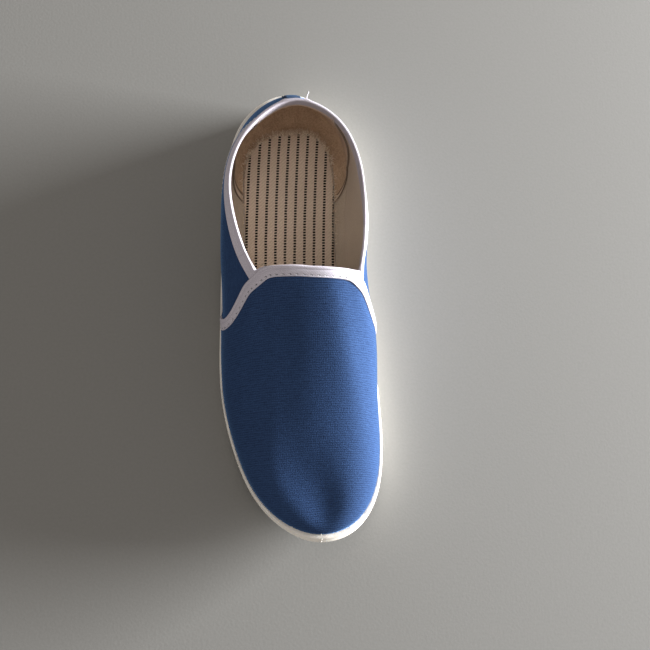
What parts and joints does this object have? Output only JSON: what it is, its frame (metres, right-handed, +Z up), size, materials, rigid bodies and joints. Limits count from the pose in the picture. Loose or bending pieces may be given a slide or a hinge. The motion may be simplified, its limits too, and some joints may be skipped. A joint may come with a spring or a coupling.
{
  "type": "canvas work shoe",
  "caption": "Right slip-on work shoe: a hollow canvas upper with taped edges and a striped cloth insole on a moulded foam sole with heel, arch and toe spring.",
  "frame": {"origin": "on the floor, below the middle of the sole's length and width", "axes": "+Z up from the floor, -Y towards the toe, +X towards the big toe's side"},
  "size_m": [0.099, 0.2806, 0.0744],
  "materials": {
    "foam_sole": "satin moulded foam",
    "canvas": "plain woven canvas",
    "insole_cloth": "twill cloth",
    "binding_tape": "folded cotton tape"
  },
  "bodies": {
    "root": {"sole": "foam_sole", "upper": "canvas", "insole": "insole_cloth", "vamp_binding": "binding_tape", "collar_binding_heel": "binding_tape", "collar_binding_outer": "binding_tape", "collar_binding_inner": "binding_tape", "heel_strip": "canvas"}
  },
  "joints": []
}
